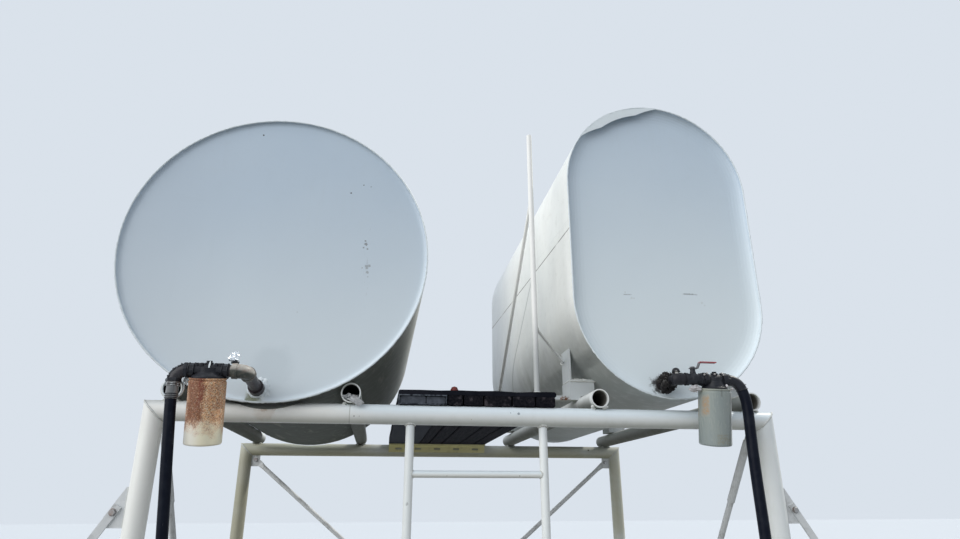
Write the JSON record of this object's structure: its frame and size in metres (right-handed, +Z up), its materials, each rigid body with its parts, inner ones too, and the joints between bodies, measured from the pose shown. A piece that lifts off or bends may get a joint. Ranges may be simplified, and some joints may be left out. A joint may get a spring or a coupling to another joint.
{
  "type": "twin overhead fuel tanks on a pipe stand",
  "caption": "Round and obround steel fuel tanks lying side by side on a welded pipe stand, with outlet filters, hoses, a deck and a ladder.",
  "frame": {"origin": "middle of the footprint on the ground, under the centre of the object's box without the hoses", "axes": "+X along the front beam from the round tank to the obround tank, +Y from the outlet end of the tanks to their back end, +Z up"},
  "size_m": [4.0454, 1.824, 3.1951],
  "materials": {
    "tank_paint": "worn satin white paint",
    "head_paint": "satin pale blue-grey paint with scuffs",
    "top_fitting": "satin white paint",
    "frame_paint": "satin white paint, weathered",
    "brace_steel": "dull galvanized steel",
    "deck_steel": "black paint, worn",
    "deck_wood": "weathered dark boards",
    "deck_sheet": "matte black sheet",
    "angle_paint": "faded olive paint",
    "rail_paint": "satin white paint",
    "dark_fitting": "dirty black fittings",
    "foil": "crumpled bright metal",
    "left_canister": "cream paint with rust speckle",
    "right_canister": "grey-white paint with small rust patches",
    "valve_metal": "dirty plated brass",
    "lever_red": "red coated lever",
    "hose_rubber": "matte black rubber",
    "nozzle_metal": "cast aluminium"
  },
  "bodies": {
    "root": {"round_tank_shell": "tank_paint", "round_tank_front_head": "head_paint", "round_tank_back_head": "head_paint", "round_tank_top_fittings": "top_fitting", "obround_tank_shell": "tank_paint", "obround_tank_front_head": "head_paint", "obround_tank_back_head": "head_paint", "obround_tank_bent_rim": "head_paint", "obround_tank_top_fittings": "top_fitting", "front_beam": "frame_paint", "back_beam": "frame_paint", "front_left_leg": "frame_paint", "front_right_leg": "frame_paint", "back_left_leg": "frame_paint", "back_right_leg": "frame_paint", "round_tank_rails": "frame_paint", "obround_tank_rails": "frame_paint", "back_cross_braces": "brace_steel", "side_braces": "brace_steel", "brace_tabs": "brace_steel", "outrigger_braces": "brace_steel", "outrigger_feet": "brace_steel", "ladder_stiles": "frame_paint", "ladder_rungs": "frame_paint", "deck_channel": "deck_steel", "deck_boards": "deck_wood", "deck_top_sheet": "deck_sheet", "deck_back_angle": "angle_paint", "handrail_post": "rail_paint", "handrail_stay": "rail_paint", "handrail_strut": "rail_paint", "tank_brackets": "rail_paint", "bracket_blocks": "rail_paint", "left_outlet_pipe": "dark_fitting", "left_valve": "foil", "left_filter_head": "dark_fitting", "left_filter_canister": "left_canister", "left_hose_fitting": "dark_fitting", "left_hose": "hose_rubber", "left_hose_coil": "hose_rubber", "left_nozzle": "nozzle_metal", "right_outlet_pipe": "dark_fitting", "right_valve_body": "valve_metal", "right_filter_head": "dark_fitting", "right_filter_canister": "right_canister", "right_hose_fitting": "dark_fitting", "right_hose": "hose_rubber", "right_hose_coil": "hose_rubber", "right_nozzle": "nozzle_metal"},
    "valve_lever": {"right_valve_lever": "lever_red"}
  },
  "joints": [
    {"name": "valve_turn", "type": "hinge", "parent": "root", "child": "valve_lever", "pos_m": [0.673, -0.765, 2.016], "axis": [0, 0, 1], "range_deg": [-90, 0]}
  ]
}
